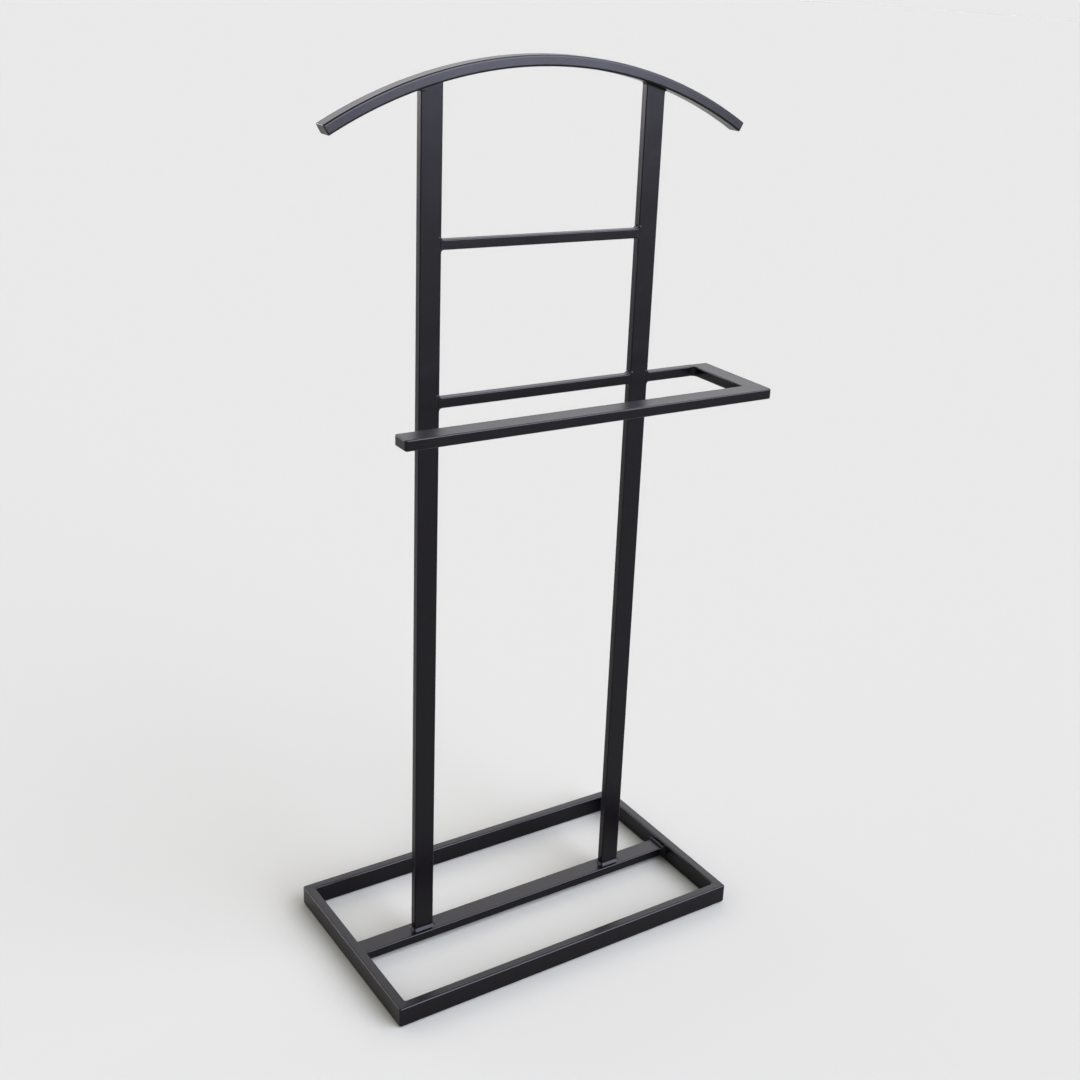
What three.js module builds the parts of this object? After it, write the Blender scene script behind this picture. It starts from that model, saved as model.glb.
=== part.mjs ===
// Valet stand: a welded steel-tube clothes stand with a shoulder arc, a trouser rail and a mitred base.
// Millimetres, +Z up, front towards -Y. The origin is on the floor, in the middle of the base.
import * as THREE from 'three';
import { mergeVertices } from 'three/addons/utils/BufferGeometryUtils.js';

// ---- driving dimensions -------------------------------------------------------------------------
const FRAME_HEIGHT = 1060;      // underside of the base to the top of the shoulder arc
const GAP = 0.3;                // weld gap kept between touching tubes
const WALL = 1.2;               // wall of every tube
const EDGE_RADIUS = 1.4;        // outer edge radius of the rolled tube

const BASE_WIDTH = 470;         // outside, left to right
const BASE_DEPTH = 275;         // outside, front to back
const BASE_TUBE = { thick: 12, high: 25 };    // the base tube stands on edge
const PAD = { long: 24, wide: 5, high: 1, inset: 16 };

const FRAME_BACK = 2;           // y of the plane that the backs of the uprights share
const UPRIGHT_TUBE = { wide: 25, deep: 10 };
const UPRIGHT_OUTSIDE = 302;    // over both uprights

const CROSS_BAR = { deep: 25, high: 12, middle: -3, bottom: 5 };   // flat bar that carries the uprights
const UPPER_BAR = { deep: 10, high: 11, top: 871 };                // ties the uprights together

const RAIL = { top: 699, high: 12, flat: 25, deep: 10, front: -126, left: -225.5, right: 246 };

const ARC = { outerRadius: 515, thick: 12, deep: 20, halfSpan: 260, steps: 28 };
const CAP = 1.5;                // thickness of the plates that close the open tube ends
const CORNER_STEPS = 3;         // facets in each rounded corner of a section

// ---- places worked out from them, with heights from the underside of the base --------------------
const CROSS_BAR_TOP = CROSS_BAR.bottom + CROSS_BAR.high;
const UPRIGHT_X = (UPRIGHT_OUTSIDE - UPRIGHT_TUBE.wide) / 2;
const UPRIGHT_INSIDE = UPRIGHT_OUTSIDE - 2 * UPRIGHT_TUBE.wide;
const FRAME_Y = FRAME_BACK - UPRIGHT_TUBE.deep / 2;
const ARC_CENTRE_Z = FRAME_HEIGHT - ARC.outerRadius;
const ARC_INNER = ARC.outerRadius - ARC.thick;
const ARC_Y = FRAME_BACK - ARC.deep / 2;
const ARC_HALF_ANGLE = Math.asin(ARC.halfSpan / ARC.outerRadius);

const powderCoat = new THREE.MeshStandardMaterial({ color: 0x26262a, roughness: 0.45, metalness: 0.1 });
const padFelt = new THREE.MeshStandardMaterial({ color: 0x1b1b1b, roughness: 0.95, metalness: 0 });

const stand = new THREE.Group();
const steelFrame = new THREE.Group();
steelFrame.position.z = PAD.high + GAP;
stand.add(steelFrame);

// ---- sections and tubes -------------------------------------------------------------------------
/** Rectangle a by b round the origin with rounded corners, as a Shape or a hole Path. */
function roundedRectangle(target, a, b, radius) {
  const x = a / 2 - radius;
  const y = b / 2 - radius;
  target.moveTo(x, -b / 2);
  target.absarc(x, -y, radius, -Math.PI / 2, 0);
  target.absarc(x, y, radius, 0, Math.PI / 2);
  target.absarc(-x, y, radius, Math.PI / 2, Math.PI);
  target.absarc(-x, -y, radius, Math.PI, 1.5 * Math.PI);
  target.closePath();
  return target;
}

/** Keeps only positions and welds them, so the solid is one closed skin. */
function weld(geometry) {
  geometry.deleteAttribute('normal');
  geometry.deleteAttribute('uv');
  const welded = mergeVertices(geometry, 1e-4);
  welded.computeVertexNormals();
  return welded;
}

/** Moves every vertex with a function that changes its Vector3 in place. */
function reshape(geometry, move) {
  const position = geometry.attributes.position;
  const point = new THREE.Vector3();
  for (let i = 0; i < position.count; i += 1) {
    point.fromBufferAttribute(position, i);
    move(point);
    position.setXYZ(i, point.x, point.y, point.z);
  }
  return geometry;
}

/** Hollow tube along Z, centred: section a (X) by b (Y). */
function tube(a, b, length, steps = 1) {
  const section = roundedRectangle(new THREE.Shape(), a, b, EDGE_RADIUS);
  const bore = new THREE.Path();
  roundedRectangle(bore, a - 2 * WALL, b - 2 * WALL, 0.4);
  section.holes.push(bore);
  const options = { depth: length, steps, bevelEnabled: false, curveSegments: CORNER_STEPS };
  return new THREE.ExtrudeGeometry(section, options).translate(0, 0, -length / 2);
}

/** Solid plate with the tube's outline, its thickness along Z, centred. */
function plate(a, b, thickness) {
  const section = roundedRectangle(new THREE.Shape(), a, b, EDGE_RADIUS);
  const options = { depth: thickness, bevelEnabled: false, curveSegments: CORNER_STEPS };
  return new THREE.ExtrudeGeometry(section, options).translate(0, 0, -thickness / 2);
}

/** Cuts ends of a Z tube at 45 degrees: an end runs back by the distance from the edge x = side * a / 2. */
function mitre(geometry, a, side, ends) {
  return reshape(geometry, (p) => {
    const back = a / 2 - side * p.x;
    if (p.z > 0 && ends.includes('end')) p.z -= back;
    if (p.z < 0 && ends.includes('start')) p.z += back;
  });
}

/** Turns a geometry made along Z so that it runs along X, with its section's X on world Y. */
const alongX = (geometry) => geometry.rotateY(Math.PI / 2).rotateX(Math.PI / 2);

/** Turns a geometry made along Z so that it runs along Y, with its section's X on world X. */
const alongY = (geometry) => geometry.rotateX(-Math.PI / 2);

function add(name, geometry, x, y, z, group = steelFrame, material = powderCoat) {
  const mesh = new THREE.Mesh(weld(geometry), material);
  mesh.name = name;
  mesh.position.set(x, y, z);
  group.add(mesh);
}

// ---- base: four mitred bars on edge, and the flat cross bar --------------------------------------
const baseZ = BASE_TUBE.high / 2;
const mitreGap = GAP * Math.SQRT2 / 2;
for (const [name, side] of [['base_front_bar', -1], ['base_back_bar', 1]]) {
  const bar = tube(BASE_TUBE.thick, BASE_TUBE.high, BASE_WIDTH - 2 * mitreGap);
  mitre(bar, BASE_TUBE.thick, side, ['start', 'end']);
  add(name, alongX(bar), 0, side * (BASE_DEPTH - BASE_TUBE.thick) / 2, baseZ);
}
for (const [name, side] of [['base_left_bar', -1], ['base_right_bar', 1]]) {
  const bar = tube(BASE_TUBE.thick, BASE_TUBE.high, BASE_DEPTH - 2 * mitreGap);
  mitre(bar, BASE_TUBE.thick, side, ['start', 'end']);
  add(name, alongY(bar), side * (BASE_WIDTH - BASE_TUBE.thick) / 2, 0, baseZ);
}
const crossLength = BASE_WIDTH - 2 * BASE_TUBE.thick - 2 * GAP;
add('base_cross_bar', alongX(tube(CROSS_BAR.deep, CROSS_BAR.high, crossLength)),
  0, CROSS_BAR.middle, CROSS_BAR.bottom + CROSS_BAR.high / 2);

for (const [side, sideName] of [[-1, 'left'], [1, 'right']]) {
  for (const [end, endName] of [[-1, 'front'], [1, 'back']]) {
    const x = side * (BASE_WIDTH - BASE_TUBE.thick) / 2;
    const y = end * (BASE_DEPTH / 2 - PAD.inset - PAD.long / 2);
    const pad = plate(PAD.wide, PAD.long, PAD.high);
    add(`floor_pad_${endName}_${sideName}`, pad, x, y, PAD.high / 2, stand, padFelt);
  }
}

// ---- uprights, cut to the underside of the arc ---------------------------------------------------
const uprightBottom = CROSS_BAR_TOP + GAP;
for (const [name, side] of [['left_upright', -1], ['right_upright', 1]]) {
  const x0 = side * UPRIGHT_X;
  const upright = reshape(tube(UPRIGHT_TUBE.wide, UPRIGHT_TUBE.deep, 2), (p) => {
    const underside = ARC_CENTRE_Z + Math.sqrt((ARC_INNER - GAP) ** 2 - (p.x + x0) ** 2);
    p.z = p.z > 0 ? underside : uprightBottom;
  });
  add(name, upright, x0, FRAME_Y, 0);
}
add('upper_crossbar', alongX(tube(UPPER_BAR.deep, UPPER_BAR.high, UPRIGHT_INSIDE - 2 * GAP)),
  0, FRAME_Y, UPPER_BAR.top - UPPER_BAR.high / 2);

// ---- trouser rail: an open loop, fixed at the back and free at its front left end -----------------
const railZ = RAIL.top - RAIL.high / 2;
add('rail_back_bar', alongX(tube(RAIL.deep, RAIL.high, UPRIGHT_INSIDE - 2 * GAP)), 0, FRAME_Y, railZ);

const armInside = RAIL.right - RAIL.flat;
const stubStart = UPRIGHT_OUTSIDE / 2 + GAP;
const stubEnd = armInside - GAP;
const stub = tube(RAIL.deep, RAIL.high, stubEnd - stubStart);
add('rail_stub', alongX(stub), (stubStart + stubEnd) / 2, FRAME_Y, railZ);

const armBack = FRAME_BACK - CAP - GAP;
const armFront = RAIL.front + mitreGap;
const armX = RAIL.right - RAIL.flat / 2;
const arm = mitre(tube(RAIL.flat, RAIL.high, armBack - armFront), RAIL.flat, 1, ['start']);
add('rail_side_arm', alongY(arm), armX, (armBack + armFront) / 2, railZ);
add('rail_arm_end_cap', alongY(plate(RAIL.flat, RAIL.high, CAP)), armX, FRAME_BACK - CAP / 2, railZ);

const frontLeft = RAIL.left + CAP + GAP;
const frontRight = RAIL.right - mitreGap;
const frontY = RAIL.front + RAIL.flat / 2;
const frontBar = mitre(tube(RAIL.flat, RAIL.high, frontRight - frontLeft), RAIL.flat, -1, ['end']);
add('rail_front_bar', alongX(frontBar), (frontLeft + frontRight) / 2, frontY, railZ);
add('rail_front_end_cap', alongX(plate(RAIL.flat, RAIL.high, CAP)), RAIL.left + CAP / 2, frontY, railZ);

// ---- shoulder arc and its end caps ----------------------------------------------------------------
/** Bends a Z tube onto the arc: its length becomes angle from the top, its section's Y the radius. */
function bend(geometry, firstAngle, lastAngle, length) {
  const middleRadius = ARC.outerRadius - ARC.thick / 2;
  return reshape(geometry, (p) => {
    const angle = firstAngle + (p.z / length + 0.5) * (lastAngle - firstAngle);
    const radius = middleRadius + p.y;
    p.set(radius * Math.sin(angle), p.x, ARC_CENTRE_Z + radius * Math.cos(angle));
  });
}
const capAngle = CAP / ARC.outerRadius;
const gapAngle = GAP / ARC_INNER;
const tubeAngle = ARC_HALF_ANGLE - capAngle - gapAngle;
add('shoulder_arc', bend(tube(ARC.deep, ARC.thick, 1, ARC.steps), -tubeAngle, tubeAngle, 1), 0, ARC_Y, 0);
for (const [name, side] of [['shoulder_end_cap_left', -1], ['shoulder_end_cap_right', 1]]) {
  const first = side < 0 ? -ARC_HALF_ANGLE : tubeAngle + gapAngle;
  add(name, bend(plate(ARC.deep, ARC.thick, 1), first, first + capAngle, 1), 0, ARC_Y, 0);
}

export default stand;
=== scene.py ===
# %% [markdown]
# # A welded valet stand
# A valet stand holds a day's clothes: a jacket on the curved shoulder arc, trousers over the rail below it.
# This one is welded from rectangular steel tube and powder coated black. Everything is made in metres round
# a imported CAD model, which gives every place and size. Each tube is made again here with finer edges, and
# the welds, which the CAD model leaves out, are added.

# %% Load the frame
import math

import bpy
import numpy as np
from mathutils import Matrix, Vector


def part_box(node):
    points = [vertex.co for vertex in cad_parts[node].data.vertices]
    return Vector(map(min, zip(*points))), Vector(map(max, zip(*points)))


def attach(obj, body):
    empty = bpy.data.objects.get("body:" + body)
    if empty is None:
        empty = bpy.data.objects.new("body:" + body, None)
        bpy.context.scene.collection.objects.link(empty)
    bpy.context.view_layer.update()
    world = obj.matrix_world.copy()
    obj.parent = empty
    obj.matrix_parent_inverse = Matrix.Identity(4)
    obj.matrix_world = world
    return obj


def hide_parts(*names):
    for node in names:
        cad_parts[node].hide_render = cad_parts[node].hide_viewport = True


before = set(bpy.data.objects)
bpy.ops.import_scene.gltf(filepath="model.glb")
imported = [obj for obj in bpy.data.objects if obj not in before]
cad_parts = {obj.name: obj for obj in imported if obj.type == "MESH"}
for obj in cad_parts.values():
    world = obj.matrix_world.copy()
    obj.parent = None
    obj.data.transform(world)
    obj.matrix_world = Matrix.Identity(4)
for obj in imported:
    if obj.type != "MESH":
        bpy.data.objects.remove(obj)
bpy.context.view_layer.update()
MM = 0.001
X, Y, Z = np.eye(3)
print("CAD nodes:", len(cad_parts))

# %% [markdown]
# ## Camera
# The camera stands to the front left, a little above the arc, and looks down at the stand. It is rolled by
# a few degrees. It could be aimed by a constraint at an empty object, but its place and three angles say it
# all: a matrix with the camera's right, up and backward directions as columns turns it in one step.

# %% Camera
IMAGE_SIDE = 1080
FOCAL_LENGTH = 1455.9                # in the same units as IMAGE_SIDE
IMAGE_CENTRE = (659.6, 499.5)        # where the optical axis meets the image
CAMERA_PLACE = (-0.8447, -1.3642, 1.1536)
CAMERA_YAW, CAMERA_PITCH, CAMERA_ROLL = -0.6479, -0.3497, 0.0683
SENSOR_WIDTH = 36                    # millimetres, the full frame of a still camera
NEAREST_SEEN = 0.05


def camera_axes(yaw, pitch, roll):
    """Right, up and forward directions. Forward is (sin(-yaw) cos(pitch), cos(yaw) cos(pitch), sin(pitch)),
    right is forward x vertical, up is right x forward, and roll turns right and up round forward."""
    level = math.cos(pitch)
    forward = np.array([math.sin(-yaw) * level, math.cos(yaw) * level, math.sin(pitch)])
    right = np.cross(forward, Z)
    right /= np.linalg.norm(right)
    up = np.cross(right, forward)
    cos, sin = math.cos(roll), math.sin(roll)
    return right * cos + up * sin, up * cos - right * sin, forward


right, up, forward = camera_axes(CAMERA_YAW, CAMERA_PITCH, CAMERA_ROLL)
camera = bpy.data.objects.new("camera", bpy.data.cameras.new("camera"))
bpy.context.scene.collection.objects.link(camera)
turn = np.eye(4)
turn[:3, 0], turn[:3, 1], turn[:3, 2], turn[:3, 3] = right, up, -forward, CAMERA_PLACE
camera.matrix_world = Matrix(turn.tolist())
camera.data.sensor_width = SENSOR_WIDTH
camera.data.lens = FOCAL_LENGTH / IMAGE_SIDE * SENSOR_WIDTH
camera.data.shift_x = (IMAGE_SIDE / 2 - IMAGE_CENTRE[0]) / IMAGE_SIDE
camera.data.shift_y = (IMAGE_CENTRE[1] - IMAGE_SIDE / 2) / IMAGE_SIDE
camera.data.clip_start = NEAREST_SEEN
bpy.context.scene.camera = camera
print("lens", round(camera.data.lens, 1), "mm")

# %% [markdown]
# ## Shader sums as Python
# A material's pattern is arithmetic on values that change over the surface. Wrapping a socket in a small
# class lets a sum be written as Python, and each operator adds one Math node. Every other node comes from
# one method, which sets its settings before it links its inputs.


# %% Socket arithmetic
class Value:
    """An output socket. a + b, a - b and a * b each give a new Value behind one Math node."""

    def __init__(self, shader, socket):
        self.shader = shader
        self.socket = socket

    def math(self, operation, first, second):
        return self.shader.node("ShaderNodeMath", {"operation": operation}, {0: first, 1: second})

    def __add__(self, other):
        return self.math("ADD", self, other)

    def __radd__(self, other):
        return self.math("ADD", other, self)

    def __sub__(self, other):
        return self.math("SUBTRACT", self, other)

    def __rsub__(self, other):
        return self.math("SUBTRACT", other, self)

    def __mul__(self, other):
        return self.math("MULTIPLY", self, other)

    def __rmul__(self, other):
        return self.math("MULTIPLY", other, self)


class Shader:
    """The node tree of one material or world, emptied first."""

    def __init__(self, owner):
        owner.use_nodes = True
        self.tree = owner.node_tree
        self.tree.nodes.clear()

    def node(self, kind, settings=None, inputs=None, output=0):
        """Adds a node, applies its settings, then fills its inputs with numbers, colours or Values."""
        new = self.tree.nodes.new(kind)
        for name, setting in (settings or {}).items():
            setattr(new, name, setting)
        for name, value in (inputs or {}).items():
            if isinstance(value, Value):
                self.tree.links.new(value.socket, new.inputs[name])
            else:
                new.inputs[name].default_value = value
        return Value(self, new.outputs[output]) if len(new.outputs) else new

    def place(self):
        """Object coordinates: where a point is on its own piece, in metres."""
        return self.node("ShaderNodeTexCoord", output=3)

    def noise(self, place, scale, detail):
        """Noise between 0 and 1, with about scale lumps to the metre."""
        return self.node("ShaderNodeTexNoise", {}, {"Vector": place, "Scale": scale, "Detail": detail})

    def fade(self, value, start, end, low=0.0, high=1.0):
        """Smooth step: low below start, high above end."""
        return self.node("ShaderNodeMapRange", {"interpolation_type": "SMOOTHSTEP"},
                         {0: value, 1: start, 2: end, 3: low, 4: high})


print("a Value takes +, - and *")

# %% [markdown]
# ## The finish: black powder coat
# Powder is sprayed dry and baked until it flows, which leaves a satin skin with a slight orange peel. A
# picture texture could show that, but it would need unwrapping and would repeat. Noise needs neither, so the
# roughness drifts a little from place to place, and two sizes of fine noise bend the normal through a Bump
# node, with slow waves under them where the tube walls aren't quite flat. The colour is nearly black: the
# greys that one sees are reflections.

# %% Powder coat material
COAT_BLACK = (0.0011, 0.0007, 0.0012)
COAT_ROUGHNESS = 0.26
ROUGHNESS_DRIFT = 0.04               # how far the roughness drifts either way
COAT_MIRROR = 0.175                  # specular level, about a third of plain paint's
WAVE_SCALE, PEEL_SCALE, GRAIN_SCALE = 38.0, 620.0, 2600.0
PEEL_SHARE = 0.7                     # of the fine relief, the rest is grain
WAVINESS = 6.0                       # height of the slow waves against the fine relief's
RELIEF_STRENGTH, RELIEF_DEPTH = 0.12, 0.2 * MM


def powder_coat(name):
    """Relief = peel and grain in their shares + waves. Roughness = its middle value + the waves' drift."""
    material = bpy.data.materials.new(name)
    shader = Shader(material)
    place = shader.place()
    waves = shader.noise(place, WAVE_SCALE, 3.0)
    peel = shader.noise(place, PEEL_SCALE, 2.0)
    grain = shader.noise(place, GRAIN_SCALE, 1.0)
    relief = peel * PEEL_SHARE + grain * (1 - PEEL_SHARE) + waves * WAVINESS
    normal = shader.node("ShaderNodeBump", {}, {
        "Height": relief,
        "Strength": RELIEF_STRENGTH,
        "Distance": RELIEF_DEPTH,
    })
    paint = shader.node("ShaderNodeBsdfPrincipled", {}, {
        "Base Color": (*COAT_BLACK, 1.0),
        "Roughness": COAT_ROUGHNESS - ROUGHNESS_DRIFT + waves * (2 * ROUGHNESS_DRIFT),
        "Specular IOR Level": COAT_MIRROR,
        "Normal": normal,
    })
    shader.node("ShaderNodeOutputMaterial", {}, {"Surface": paint})
    return material


black = powder_coat("black_powder_coat")
print("finish:", black.name)

# %% [markdown]
# ## Felt on the floor pads
# Four thin pads keep the steel off the floor. Only a sliver of each shows, so the CAD model's plain pads are
# kept, and real fibres on them would never be seen. A fine noise mixes a dark and a lighter grey and raises
# the nap.

# %% Felt material
FELT_DARK, FELT_LIGHT = 0.012, 0.05
FIBRE_SCALE = 1400.0
FELT_ROUGHNESS = 0.95
NAP_STRENGTH, NAP_DEPTH = 0.6, 0.3 * MM


def felt(name):
    """Grey = dark + fibre noise * (light - dark), and the same noise is the height of the nap."""
    material = bpy.data.materials.new(name)
    shader = Shader(material)
    fibre = shader.noise(shader.place(), FIBRE_SCALE, 4.0)
    tone = FELT_DARK + fibre * (FELT_LIGHT - FELT_DARK)
    colour = shader.node("ShaderNodeCombineColor", {}, {"Red": tone, "Green": tone, "Blue": tone})
    normal = shader.node("ShaderNodeBump", {}, {
        "Height": fibre,
        "Strength": NAP_STRENGTH,
        "Distance": NAP_DEPTH,
    })
    cloth = shader.node("ShaderNodeBsdfPrincipled", {}, {
        "Base Color": colour,
        "Roughness": FELT_ROUGHNESS,
        "Normal": normal,
    })
    shader.node("ShaderNodeOutputMaterial", {}, {"Surface": cloth})
    return material


pad_felt = felt("floor_pad_felt")
pads = [node for name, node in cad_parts.items() if name.startswith("floor_pad")]
for pad in pads:
    pad.data.materials.clear()
    pad.data.materials.append(pad_felt)
print("felt pads:", len(pads))

# %% [markdown]
# ## Outlines and skins
# Rectangular tube has small rounded edges. They catch the light as thin bright lines, so they are worth
# real geometry. A Bevel modifier on a box would round them too, but it can't follow a mitre or a weld. Here
# an outline is worked out once as an array, and a skin joins a stack of such outlines with quads and closes
# both ends. A point a little way onto each flat keeps smooth shading from spreading there.

# %% Outlines and skins
SUPPORT = 0.4 * MM                   # how far onto a flat its extra point stands
EDGE_POINTS = 6                      # points round one rounded edge


def outline(wide, high, radius):
    """Points of a rounded rectangle, anticlockwise. Corner point = corner centre + radius * (cos, sin) over
    a quarter turn. One point stands SUPPORT further along the flat on either side of each corner."""
    angle = np.linspace(0, np.pi / 2, EDGE_POINTS)
    arc = radius * np.stack([np.cos(angle), np.sin(angle)], 1)
    arc = np.vstack([arc[0] - (0, SUPPORT), arc, arc[-1] - (SUPPORT, 0)])
    points = []
    for quarter, (side_x, side_y) in enumerate([(1, 1), (-1, 1), (-1, -1), (1, -1)]):
        cos, sin = round(math.cos(quarter * np.pi / 2)), round(math.sin(quarter * np.pi / 2))
        turned = arc @ np.array([[cos, sin], [-sin, cos]])
        points.append(turned + (side_x * (wide / 2 - radius), side_y * (high / 2 - radius)))
    return np.vstack(points)


def skin(name, rings, closed=False):
    """A mesh over rings, an array (ring, point, xyz). Quad (i, j) joins points j and j + 1 of rings i and
    i + 1. An open stack gets a flat polygon at each end, a closed one joins its last ring to its first."""
    count, around, _ = rings.shape
    i = np.arange(count if closed else count - 1)[:, None]
    j = np.arange(around)[None, :]
    here, there = i * around, (i + 1) % count * around
    after = (j + 1) % around
    quads = np.stack([here + j, here + after, there + after, there + j], -1)
    faces = quads.reshape(-1, 4).tolist()
    if not closed:
        faces += [list(range(around))[::-1], list(range((count - 1) * around, count * around))]
    mesh = bpy.data.meshes.new(name)
    mesh.from_pydata(rings.reshape(-1, 3).tolist(), [], faces)
    mesh.polygons.foreach_set("use_smooth", [len(face) == 4 for face in faces])
    mesh.materials.append(black)
    piece = bpy.data.objects.new(name, mesh)
    bpy.context.scene.collection.objects.link(piece)
    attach(piece, "root")
    return piece


print("points in an outline:", len(outline(25 * MM, 12 * MM, 1.4 * MM)))

# %% [markdown]
# ## Tubes
# Every straight tube is the same idea: an outline carried along a line. What differs is the end. A welded
# butt end is plain and hidden. A capped end is drawn in over a quarter circle, as a ground plate is. A
# mitred end turns half of a right angle, so that two tubes meet on the diagonal with a softly rounded corner.

# %% Tube builder
EDGE = 1.4 * MM                      # outer edge radius of the tube
LEAST_RADIUS = 0.15 * MM             # an edge that draws in stays at least this round
BASE_CORNER = (2.2 * MM, 3.0 * MM)   # plan radius of a mitred corner, outside and in the opening
RAIL_CORNER = (4.0 * MM, 1.6 * MM)
MITRE_STEPS = 7
CAP_ROUND = 2.6 * MM                 # plan radius of a ground end plate
CAP_STEPS = 6
CAP_FLAT = 0.45                      # how far the plate draws in over its thickness, against its width


def box(node):
    """A CAD node's lowest and highest corners as arrays."""
    low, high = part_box(node)
    return np.array(low), np.array(high)


def end_rings(kind):
    """Rows of (how far along from the end, how much the outline draws in, turn left before the mitre)."""
    if kind == "butt":
        return [(0.0, 0.0, 0.0), (SUPPORT, 0.0, 0.0)]
    if kind == "mitre":
        turns = np.linspace(np.pi / 4, 0, MITRE_STEPS)
        return [(0.0, 0.0, turn) for turn in turns] + [(SUPPORT, 0.0, 0.0)]
    angles = np.linspace(np.pi / 2, 0, CAP_STEPS)
    rows = [(CAP_ROUND * (1 - math.sin(a)), CAP_ROUND * (1 - math.cos(a)), 0.0) for a in angles]
    return [(0.0, CAP_ROUND + SUPPORT, 0.0)] + rows + [(CAP_ROUND + SUPPORT, 0.0, 0.0)]


def tube(name, node, lengthwise, outward, wide, high, radius=EDGE, ends=("butt", "butt"), reach=(0, 0),
         corner=BASE_CORNER):
    """One tube in a CAD node's box, which runs past the box by reach at each end. In a mitre a point at
    depth d below the outer face moves round a quarter circle, whose radius goes evenly from corner[0] on the
    outside to corner[1] on the inside."""
    lowest, highest = box(node)
    upward = np.cross(lengthwise, outward)
    middle = (lowest + highest) / 2
    half = np.abs(lengthwise) @ (highest - lowest) / 2
    rings = []
    for side, kind, extra in ((-1, ends[0], reach[0]), (1, ends[1], reach[1])):
        part = []
        for along, inset, turn in end_rings(kind):
            flat_inset = inset * CAP_FLAT
            rounding = max(radius - flat_inset, LEAST_RADIUS)
            a, b = outline(wide - 2 * inset, high - 2 * flat_inset, rounding).T
            back = along + 0 * a
            if kind == "mitre":
                depth = wide / 2 - a
                bend = corner[0] + (corner[1] - corner[0]) * depth / wide
                back = depth + bend * (1 - math.sin(turn)) + along
                a = a - bend * (1 - math.cos(turn))
            s = side * (half + extra - back)
            part.append(middle + s[:, None] * lengthwise + a[:, None] * outward + b[:, None] * upward)
        rings += part if side < 0 else part[::-1]
    piece = skin(name, np.array(rings))
    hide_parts(node)
    return piece


print("rings at a butt, mitred and capped end:", [len(end_rings(kind)) for kind in ("butt", "mitre", "cap")])

# %% [markdown]
# ## Base
# Four tubes stand on edge and meet in mitres that were ground smooth. A flat tube crosses between the sides,
# a little lower than their rim, and carries the uprights. One frame-shaped mesh could be the whole base, but
# the real one is welded from separate pieces, and they stay separate here.

# %% Base tubes
BASE_THICK, BASE_HIGH = 12 * MM, 25 * MM
BASE_EDGE = 1.8 * MM
MITRE_GAP = 0.3 * MM * math.sqrt(0.5)       # what closes the CAD model's 0.3 mm gap on the diagonal
for node, outward in (
    ("base_front_bar", -Y),
    ("base_back_bar", Y),
    ("base_left_bar", -X),
    ("base_right_bar", X),
):
    tube(node + "_skin", node, np.cross(outward, Z), outward, BASE_THICK, BASE_HIGH, BASE_EDGE,
         ("mitre", "mitre"), (MITRE_GAP, MITRE_GAP))
FLAT_WIDE, FLAT_HIGH = 25 * MM, 12 * MM
CROSS_REACH = 1 * MM                 # how far a butt end goes into the tube that it is welded to
cross = tube("base_cross_bar_skin", "base_cross_bar", X, Y, FLAT_WIDE, FLAT_HIGH,
             reach=(CROSS_REACH, CROSS_REACH))
print("faces of the cross bar:", len(cross.data.polygons))

# %% [markdown]
# ## Upright frame
# Two flat tubes rise from the cross bar to the arc. Two thinner bars tie them together, flush at the front.
# They are more of the same tube, so the builder above makes them too.

# %% Uprights and bars between them
UPRIGHT_WIDE, BAR_DEEP = 25 * MM, 10 * MM
UPRIGHT_EDGE, BAR_EDGE = 1.3 * MM, 1.2 * MM
UPRIGHT_REACH, BAR_REACH = 0.8 * MM, 2 * MM
UPPER_BAR_HIGH, RAIL_BAR_HIGH = 11 * MM, 12 * MM
for node in ("left_upright", "right_upright"):
    tube(node + "_skin", node, Z, X, UPRIGHT_WIDE, BAR_DEEP, UPRIGHT_EDGE,
         reach=(UPRIGHT_REACH, UPRIGHT_REACH))
for node, high in (("upper_crossbar", UPPER_BAR_HIGH), ("rail_back_bar", RAIL_BAR_HIGH)):
    tube(node + "_skin", node, X, Y, BAR_DEEP, high, BAR_EDGE, reach=(BAR_REACH, BAR_REACH))
print("top of the uprights:", round(box("left_upright")[1][2], 3), "m")

# %% [markdown]
# ## Trouser rail
# The rail is an open loop of flat tube. It starts with a stub on the right upright, runs forward, turns one
# mitred corner and ends free on the left, where trousers slide on. A ground plate closes that end. A curve
# with a bevel object could draw the loop in one go, but it would round the mitre into a bend.

# %% Rail tubes
STUB_REACH = 1 * MM
CAP_REACH = 1.8 * MM                 # the end plate and its gap, which the tube's skin also covers
tube("rail_stub_skin", "rail_stub", X, Y, BAR_DEEP, RAIL_BAR_HIGH, BAR_EDGE, reach=(BAR_REACH, STUB_REACH))
arm = tube("rail_side_arm_skin", "rail_side_arm", -Y, X, FLAT_WIDE, FLAT_HIGH, EDGE,
           ("cap", "mitre"), (CAP_REACH, MITRE_GAP), RAIL_CORNER)
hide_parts("rail_arm_end_cap")
front = tube("rail_front_bar_skin", "rail_front_bar", -X, -Y, FLAT_WIDE, FLAT_HIGH, EDGE,
             ("mitre", "cap"), (MITRE_GAP, CAP_REACH), RAIL_CORNER)
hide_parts("rail_front_end_cap")
print("rail's front bar:", round(max(front.dimensions), 3), "m long")

# %% [markdown]
# ## Shoulder arc
# The arc is a flat tube rolled to a circle. A Simple Deform modifier could bend a straight one, but carrying
# the outline round the circle gives every place exactly. Both ends are closed by ground plates. Rolling
# widens a tube's inside and narrows its outside, so the side walls lean a little.

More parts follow.
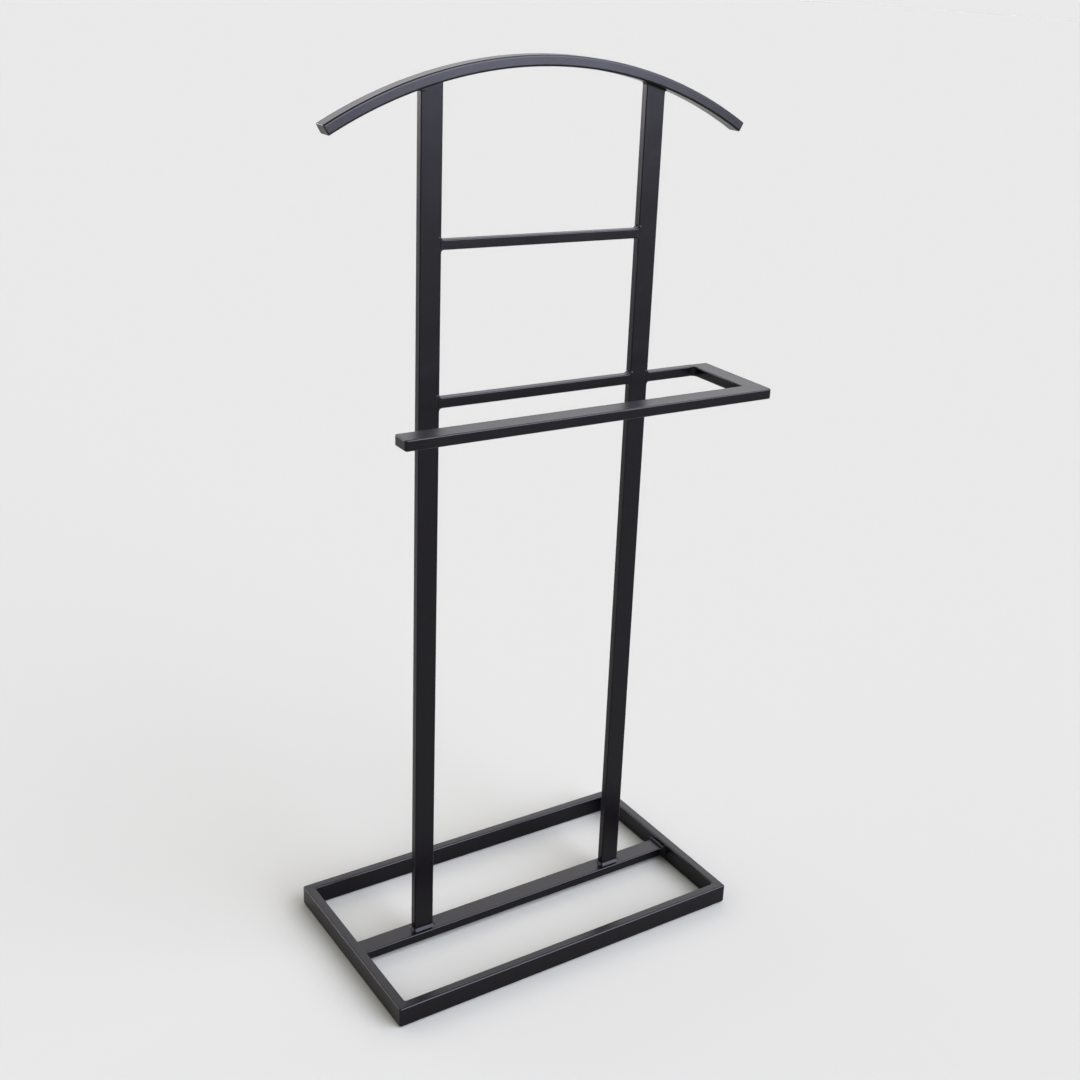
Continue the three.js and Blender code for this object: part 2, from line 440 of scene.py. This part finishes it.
# %% Shoulder arc
ARC_RADIUS = 515 * MM
ARC_HALF_SPAN = 260 * MM
ARC_THICK, ARC_DEEP = 12 * MM, 20 * MM
ARC_EDGE = 2.0 * MM
ARC_CAP_ROUND = 1.0 * MM
ARC_STEPS = 120
KEYSTONE = 0.04                      # lean of the side walls
arc_low, arc_high = box("shoulder_arc")
ARC_CENTRE = np.array([0, (arc_low[1] + arc_high[1]) / 2, arc_high[2] - ARC_RADIUS])
ARC_TURN = math.asin(ARC_HALF_SPAN / ARC_RADIUS)


def arc_rings():
    """Rings round the circle: at angle t from the top, an outline point (a, b) goes to centre + a * Y
    + (radius - thick / 2 + b) * (sin t, 0, cos t). At each end the outline draws in over a quarter circle,
    and a shrinks evenly from the inside of the curve to the outside by KEYSTONE."""
    angles = np.linspace(0, np.pi / 2, CAP_STEPS)
    along = np.array([0.0, *(ARC_CAP_ROUND * (1 - np.cos(angles)))])
    inset = np.array([ARC_CAP_ROUND + SUPPORT, *(ARC_CAP_ROUND * (1 - np.sin(angles)))])
    middle = ARC_RADIUS - ARC_THICK / 2
    turn = along / middle - ARC_TURN
    first = turn[-1] + SUPPORT / middle
    turns = np.concatenate([turn, np.linspace(first, -first, ARC_STEPS), -turn[::-1]])
    insets = np.concatenate([inset, np.zeros(ARC_STEPS), inset[::-1]])
    rings = []
    for t, i in zip(turns, insets):
        a, b = outline(ARC_DEEP - 2 * i, ARC_THICK - 2 * i, max(ARC_EDGE - i, LEAST_RADIUS)).T
        a = a * (1 - KEYSTONE * (b + ARC_THICK / 2) / (ARC_DEEP / 2))
        spoke = np.array([math.sin(t), 0, math.cos(t)])
        rings.append(ARC_CENTRE + a[:, None] * Y + (middle + b)[:, None] * spoke)
    return np.array(rings)


arc = skin("shoulder_arc_skin", arc_rings())
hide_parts("shoulder_arc", "shoulder_end_cap_left", "shoulder_end_cap_right")
print("arc:", round(math.degrees(2 * ARC_TURN), 1), "degrees of a circle")

# %% [markdown]
# ## Welds in the corners
# At every joint the weld was ground back until the two fronts are flush, and the inner corner keeps a small
# smooth curve. A boolean union with a bevel could give that, but it leaves messy faces. Here a short piece of
# the same outline is bent round a circle that touches both members, so its edges run on from theirs.

# %% Corner weld
PROUD = 0.02 * MM                    # lifts a weld off the faces it lies flush with
BURIED = 3.2 * MM                    # how far a weld reaches into the members behind its surface
WELD_STEPS = 10


def unit(vector):
    return vector / np.linalg.norm(vector)


def corner_weld(name, corner, along_a, along_b, deep, radius, edge=BAR_EDGE):
    """Centre = corner + bisector * radius / sin(half angle). The spoke turns from one touching point to the
    other, and an outline point (u, v) goes to centre + (face + thick / 2 - v) * spoke + u * depthwise, where
    the face lies PROUD nearer to the centre than the radius."""
    along_a, along_b = unit(along_a), unit(along_b)
    bisector = unit(along_a + along_b)
    depthwise = unit(np.cross(along_a, along_b))
    half = math.acos(np.clip(along_a @ bisector, -1, 1))
    face = radius - PROUD
    centre = corner + bisector * radius / math.sin(half)
    first = unit(corner + along_a * face / math.tan(half) - centre)
    last = unit(corner + along_b * face / math.tan(half) - centre)
    sweep = np.pi - 2 * half
    thick = face * (1 / math.sin(half) - 1) + BURIED
    u, v = outline(deep + 2 * PROUD, thick, edge).T
    turn = np.linspace(0, sweep, WELD_STEPS)[:, None]
    spokes = (np.sin(sweep - turn) * first + np.sin(turn) * last) / math.sin(sweep)
    reach = face + thick / 2 - v
    rings = centre + reach[None, :, None] * spokes[:, None, :] + u[None, :, None] * depthwise
    return skin(name, rings)


print("rings in a weld:", WELD_STEPS)

# %% Welds on the bars and the rail
BAR_WELD, BACK_BAR_WELD, STUB_ARM_WELD = 3.0 * MM, 3.6 * MM, 5.0 * MM


def bar_welds(node, upright, outward, radius):
    """Above and below a bar, where it meets the face of an upright that looks along outward."""
    low, high = box(node)
    face = box(upright)[0 if outward[0] < 0 else 1]
    for place, level, updown in (("above", high[2], Z), ("below", low[2], -Z)):
        corner = np.array([face[0], (low[1] + high[1]) / 2, level])
        corner_weld(f"{node}_{upright}_{place}_weld", corner, outward, updown, BAR_DEEP, radius)


for upright, inward in (("left_upright", X), ("right_upright", -X)):
    bar_welds("upper_crossbar", upright, inward, BAR_WELD)
    bar_welds("rail_back_bar", upright, inward, BACK_BAR_WELD)
bar_welds("rail_stub", "right_upright", X, BAR_WELD)

arm_low, arm_high = box("rail_side_arm")
stub_front = box("rail_stub")[0][1]
stub_corner = np.array([arm_low[0], stub_front, (arm_low[2] + arm_high[2]) / 2])
corner_weld("rail_stub_arm_weld", stub_corner, -X, -Y, FLAT_HIGH, STUB_ARM_WELD)
print("bar weld radii:", BAR_WELD / MM, BACK_BAR_WELD / MM, STUB_ARM_WELD / MM, "mm")

# %% Welds under the arc
ARC_UNDERSIDE = ARC_RADIUS - ARC_THICK


def under_arc(x, y):
    """The point of the arc's underside at x, and the arc's direction there towards the right: the circle's
    point and tangent at the angle whose sine is x / radius."""
    turn = math.asin(x / ARC_UNDERSIDE)
    point = np.array([x, y, ARC_CENTRE[2] + ARC_UNDERSIDE * math.cos(turn)])
    return point, np.array([math.cos(turn), 0, -math.sin(turn)])


for upright in ("left_upright", "right_upright"):
    low, high = box(upright)
    middle_y = (low[1] + high[1]) / 2
    for place, x, sign in (("left", low[0], -1), ("right", high[0], 1)):
        corner, tangent = under_arc(x, middle_y)
        corner_weld(f"{upright}_arc_{place}_weld", corner, -Z, sign * tangent, BAR_DEEP, BAR_WELD)
print("arc underside over an upright:", round(corner[2], 3), "m")

# %% Welds in the base
CROSS_WELD, CROSS_TOP_WELD = 6.5 * MM, 1.8 * MM
CROSS_TOP_EXTRA = 5 * MM             # how much longer the weld on top is than the bar is wide
cross_low, cross_high = box("base_cross_bar")
cross_middle = (cross_low + cross_high) / 2
for side, x, inward in (("left", cross_low[0], X), ("right", cross_high[0], -X)):
    for place, y, forward in (("front", cross_low[1], -Y), ("back", cross_high[1], Y)):
        corner = np.array([x, y, cross_middle[2]])
        name = f"base_cross_bar_{side}_{place}_weld"
        corner_weld(name, corner, inward, forward, FLAT_HIGH, CROSS_WELD, EDGE)
    corner = np.array([x, cross_middle[1], cross_high[2]])
    name = f"base_cross_bar_{side}_top_weld"
    corner_weld(name, corner, inward, Z, FLAT_WIDE + CROSS_TOP_EXTRA, CROSS_TOP_WELD)
print("cross bar weld radii:", CROSS_WELD / MM, CROSS_TOP_WELD / MM, "mm")

# %% [markdown]
# ## Weld beads round the feet
# The feet of the uprights stand in the middle of the cross bar, so nothing could be ground flush there, and
# a bead runs all the way round each. A curve with a round bevel would look like a rope laid round the foot.
# So it is a closed belt: the profile of a bead carried round the tube's outline, with a slow ripple where
# the welder's hand paused.

# %% Foot beads
BELT_CORNER_STEPS, BELT_FLAT_STEPS = 9, 22
BEAD_STEPS = 11                      # points over the profile of a bead
BEAD_RISE = 0.8                      # how high a bead climbs the upright, against its leg on the bar
BEAD_FULLNESS = 0.5                  # 0 is a hollow profile, 1 a swollen one
BEAD_BURIED = 0.2                    # how far the hidden side reaches into the tubes, in legs
BEAD_TUCK, BEAD_OVERRUN = 0.04, 1.06    # where the profile's ends dip under the tubes' faces, in legs
RIPPLE_HEIGHT = 0.03                 # of a leg
FOOT_LEGS = np.array([3.6, 2.6, 3.0, 3.2]) * MM


def belt(wide, high, radius):
    """Core points and directions round a rounded rectangle. On a flat the core point moves and the
    direction stays, in a corner the direction turns. The outline at offset o is core + (radius + o) *
    direction."""
    half_a, half_b = wide / 2 - radius, high / 2 - radius
    corners = np.array([(half_a, half_b), (-half_a, half_b), (-half_a, -half_b), (half_a, -half_b)])
    part = np.linspace(0, 1, BELT_FLAT_STEPS)[1:-1, None]
    cores, directions = [], []
    for quarter in range(4):
        angle = (quarter + np.linspace(0, 1, BELT_CORNER_STEPS)) * np.pi / 2
        here, after = corners[quarter], corners[(quarter + 1) % 4]
        turned = np.stack([np.cos(angle), np.sin(angle)], 1)
        cores += [np.repeat(here[None], BELT_CORNER_STEPS, 0), here + part * (after - here)]
        directions += [turned, np.repeat(turned[-1:], BELT_FLAT_STEPS - 2, 0)]
    return np.vstack(cores), np.vstack(directions)


def bead(name, centre, wide, high, radius, legs, pauses):
    """Round the belt, the bead's profile goes from (0, rise * leg) on the tube to (leg, 0) on the bar: a
    mix of a hollow quarter ellipse and, by fullness, a swollen one. legs are the leg lengths to the right,
    the back, the left and the front, mixed by the squares of the direction's cosine and sine. A sine wave
    with one crest for each pause ripples the leg."""
    core, direction = belt(wide, high, radius)
    cos, sin = direction.T
    right, back, left, front = legs
    leg = np.where(cos > 0, right, left) * cos ** 2 + np.where(sin > 0, back, front) * sin ** 2
    steps = np.diff(core + radius * direction, axis=0, prepend=core[:1])
    travel = np.cumsum(np.linalg.norm(steps, axis=1))
    leg = leg * (1 + RIPPLE_HEIGHT * np.sin(travel / travel[-1] * 2 * np.pi * pauses))
    turn = np.linspace(0, np.pi / 2, BEAD_STEPS)
    out = (1 - BEAD_FULLNESS) * (1 - np.cos(turn)) + BEAD_FULLNESS * np.sin(turn)
    lift = (1 - BEAD_FULLNESS) * (1 - np.sin(turn)) + BEAD_FULLNESS * np.cos(turn)
    out = np.array([-BEAD_BURIED, -BEAD_TUCK, *out, BEAD_OVERRUN, -BEAD_BURIED])
    lift = np.array([-BEAD_BURIED, BEAD_OVERRUN, *lift, -BEAD_TUCK, -BEAD_BURIED])
    offset = leg[:, None] * out[None, :]
    flat = core[:, None, :] + (radius + offset)[..., None] * direction[:, None, :]
    rise = BEAD_RISE * leg[:, None] * lift[None, :]
    rings = centre + flat[..., :1] * X + flat[..., 1:] * Y + rise[..., None] * Z
    return skin(name, rings[:, ::-1], closed=True)


for upright, pauses in (("left_upright", 7), ("right_upright", 8)):
    low, high = box(upright)
    foot = np.array([(low[0] + high[0]) / 2, (low[1] + high[1]) / 2, cross_high[2]])
    name = f"{upright}_foot_bead"
    foot_bead = bead(name, foot, high[0] - low[0], BAR_DEEP, UPRIGHT_EDGE, FOOT_LEGS, pauses)
print("faces of a foot bead:", len(foot_bead.data.polygons))

# %% [markdown]
# ## Marks of the hand
# Where the welder stopped, a bead ends in a small crater with a raised rim and a dark pinhole beside it. The
# grinder leaves low smears, and the powder now and then a speck. Sculpting could make each by hand, but all
# are the same low mound on a face, a bump function turned into a skin. A real pinhole would need a hole cut
# in the tube's skin, so it is a thin lens on the face instead, painted near black as painted shade for the
# shadow inside the hole.

# %% Pinhole material
# The pinhole's near-black colour with faint noise is painted shade, standing in for the shadow inside a hole.
PIT_SHADE_NOISE_SCALE = 900.0
PIT_SHADE_LIGHTEST = 0.003
PIT_SHADE_ROUGHNESS, PIT_SHADE_MIRROR = 0.9, 0.02
pit_painted_shade = bpy.data.materials.new("pinhole")
shader = Shader(pit_painted_shade)
pit_shade_tone = shader.noise(shader.place(), PIT_SHADE_NOISE_SCALE, 2.0) * PIT_SHADE_LIGHTEST
pit_shade_grey = shader.node("ShaderNodeCombineColor", {}, {"Red": pit_shade_tone, "Green": pit_shade_tone, "Blue": pit_shade_tone})
pit_paint = shader.node("ShaderNodeBsdfPrincipled", {}, {
    "Base Color": pit_shade_grey,
    "Roughness": PIT_SHADE_ROUGHNESS,
    "Specular IOR Level": PIT_SHADE_MIRROR,
})
shader.node("ShaderNodeOutputMaterial", {}, {"Surface": pit_paint})
print("pinhole:", pit_painted_shade.name)

# %% Mound
MOUND_ROWS, MOUND_SPOKES = 11, 28
MOUND_MIDDLE = 0.03                  # radius of the flat at the top, against the mound's
MOUND_ROOT = 0.3 * MM                # how far the underside lies below the mound's rim


def mound(name, place, long_way, across, outward, size, height, dip=0.0):
    """Over the unit disc, lift = height * ((1 - r^2)^2 - dip * exp(-9 r^2)). The disc's edge lies just under
    the face, and the underside is closed by the skin's end polygon."""
    r = np.linspace(1.0, MOUND_MIDDLE, MOUND_ROWS)[:, None]
    angle = np.linspace(0, 2 * np.pi, MOUND_SPOKES, endpoint=False)[None, :]
    lift = height * ((1 - r ** 2) ** 2 - dip * np.exp(-9 * r ** 2)) - PROUD
    half_long, half_across = size
    disc = (half_long * r * np.cos(angle))[..., None] * unit(long_way)
    disc = disc + (half_across * r * np.sin(angle))[..., None] * unit(across)
    surface = place + disc + (lift + 0 * angle)[..., None] * unit(outward)
    bottom = surface[:1] - MOUND_ROOT * unit(outward)
    return skin(name, np.concatenate([bottom, surface]))


print("points on a mound:", MOUND_ROWS * MOUND_SPOKES)

# %% Craters and pinholes
CRATER_RADII = {"upper_crossbar": 2.3 * MM, "rail_back_bar": 2.6 * MM}
CRATER_HEIGHT, CRATER_DIP = 2.2 * MM, 1.6
CRATER_PLACE = np.array([0.3, 0.5, 1.6]) * MM      # from the upright's front left edge, above the bar
PINHOLE_PLACE = np.array([0.0, 4.2, 2.4]) * MM
PINHOLE_LONG, PINHOLE_HIGH = 1.4, 0.75             # against the crater's radius
PINHOLE_HEIGHT = 0.5 * MM
right_edge = box("right_upright")[0]
for node, radius in CRATER_RADII.items():
    bar_edge = np.array([right_edge[0], right_edge[1], box(node)[1][2]])
    mound(f"{node}_weld_crater", bar_edge + CRATER_PLACE, X - Y, Z, -Y - X, (radius, radius),
          CRATER_HEIGHT, CRATER_DIP)
    pit = mound(f"{node}_weld_pinhole", bar_edge + PINHOLE_PLACE, Y, Z, -X,
                (PINHOLE_LONG * radius, PINHOLE_HIGH * radius), PINHOLE_HEIGHT)
    # the lens gets the painted shade of the hole's shadowed inside
    pit.data.materials[0] = pit_painted_shade
print("craters:", len(CRATER_RADII))

# %% Grinding smear and speck
SMEAR_SLANT = 0.22
SMEAR_SIZE, SMEAR_HEIGHT = (9.0 * MM, 2.2 * MM), 0.16 * MM
SPECK_SIZE, SPECK_HEIGHT = (1.0 * MM, 0.8 * MM), 0.22 * MM
left_low, left_high = box("left_upright")
smear = np.array([left_high[0] - 5 * MM, left_low[1], box("rail_back_bar")[0][2] + 1 * MM])
mound("rail_back_bar_grinding_smear", smear, Z + SMEAR_SLANT * X, X - SMEAR_SLANT * Z, -Y,
      SMEAR_SIZE, SMEAR_HEIGHT)
speck = left_low + np.array([9, 0, 215]) * MM
mound("left_upright_speck", speck, Z, X, -Y, SPECK_SIZE, SPECK_HEIGHT)
print("smear at", smear.round(4).tolist(), "and speck at", speck.round(4).tolist())

# %% [markdown]
# ## Floor
# The stand is on one large pale sheet, so big that its far edge lies near the horizon. A curved studio
# backdrop would do for one view, but the stand is looked at from all sides. The sheet's colour balances the
# slightly cool light, so it comes out a neutral pale grey.

# %% Floor
FLOOR_HALF = 60.0
FLOOR_COLOUR = (0.337, 0.332, 0.290)
floor_mesh = bpy.data.meshes.new("floor")
floor_corners = [(sx * FLOOR_HALF, sy * FLOOR_HALF, 0) for sx, sy in ((-1, -1), (1, -1), (1, 1), (-1, 1))]
floor_mesh.from_pydata(floor_corners, [], [(0, 1, 2, 3)])
floor = bpy.data.objects.new("floor", floor_mesh)
bpy.context.scene.collection.objects.link(floor)
floor_paint = bpy.data.materials.new("floor_paint")
shader = Shader(floor_paint)
matte = shader.node("ShaderNodeBsdfDiffuse", {}, {"Color": (*FLOOR_COLOUR, 1.0)})
shader.node("ShaderNodeOutputMaterial", {}, {"Surface": matte})
floor_mesh.materials.append(floor_paint)
print("floor side:", 2 * FLOOR_HALF, "m")

# %% [markdown]
# ## Light
# A black gloss finish shows hardly any colour of its own, only what it mirrors, so the room matters as much
# as the paint. The room is painted as a glow in the world's shader. Lamps could do it as well, but they
# leave pools of light on the floor. A pale wall stands all round, brighter higher up behind the stand and
# dim on the viewer's side, under a dim ceiling. There is a window to the front right, another to the back
# left and a panel above. At the horizon the glow is as bright as the floor, so no line shows where the floor
# ends. Each fade below runs between two cosines of the angle to a direction.

# %% Lights
HORIZON = 0.82                       # the glow at the floor's far edge, the same as the lit floor's
WALL_LEFT, WALL_RIGHT = 2.5, 3.7     # the glow of the wall's upper part
VIEWER_GLOW, CEILING_GLOW = 0.25, 0.35
SIDE_WINDOW_GLOW, WINDOW_GLOW, PANEL_GLOW = 27.0, 15.5, 9.0
TOWARDS_SIDE_WINDOW = (-0.45, 0.89, 0)
TOWARDS_WINDOW = (0.342, -0.94, 0)
TOWARDS_PANEL = (0.45, -0.65, 0.62)
ROOM_TINT = (1.0, 0.96, 1.04)        # of what is brighter or darker than the horizon
WINDOW_TINT = (0.92, 0.95, 1.2)      # of the window and the panel at the front
world = bpy.data.worlds.new("studio")
bpy.context.scene.world = world
shader = Shader(world)
direction = shader.node("ShaderNodeTexCoord", output=0)


def towards(x, y, z):
    """Cosine of the angle between a ray and a direction: their dot product."""
    aim = Vector((x, y, z)).normalized()
    return shader.node("ShaderNodeVectorMath", {"operation": "DOT_PRODUCT"}, {0: direction, 1: aim}, 1)


height = towards(0, 0, 1)
in_front = shader.fade(towards(0, -1, 0), -0.15, 0.45)
wall_bright = shader.fade(towards(1, 0, 0), 0.2, 0.7, WALL_LEFT, WALL_RIGHT)
wall = shader.fade(height, 0.2, 0.5, HORIZON, wall_bright)
viewer_side = shader.fade(height, 0.15, 0.35, HORIZON, VIEWER_GLOW)
room = wall * (1 - in_front) + viewer_side * in_front
ceiling = shader.fade(height, 0.65, 0.95)
side_window_low = 1 - shader.fade(height, 0.04, 0.2)
side_window = shader.fade(towards(*TOWARDS_SIDE_WINDOW), 0.85, 0.95) * side_window_low
plain = room * (1 - ceiling) + ceiling * CEILING_GLOW + side_window * SIDE_WINDOW_GLOW
window_band = shader.fade(height, -0.05, 0.02) * (1 - shader.fade(height, 0.35, 0.5))
window = shader.fade(towards(*TOWARDS_WINDOW), 0.86, 0.97) * window_band
panel = shader.fade(towards(*TOWARDS_PANEL), 0.85, 0.93)
cool = window * WINDOW_GLOW + panel * PANEL_GLOW
past_horizon = plain - HORIZON
channels = {
    channel: HORIZON + past_horizon * room_tint + cool * window_tint
    for channel, room_tint, window_tint in zip(("Red", "Green", "Blue"), ROOM_TINT, WINDOW_TINT)
}
glow = shader.node("ShaderNodeCombineColor", {}, channels)
backdrop = shader.node("ShaderNodeBackground", {}, {"Color": glow, "Strength": 1.0})
shader.node("ShaderNodeOutputWorld", {}, {"Surface": backdrop})
bpy.context.scene.view_settings.view_transform = "Standard"
print("glow at the horizon:", HORIZON)
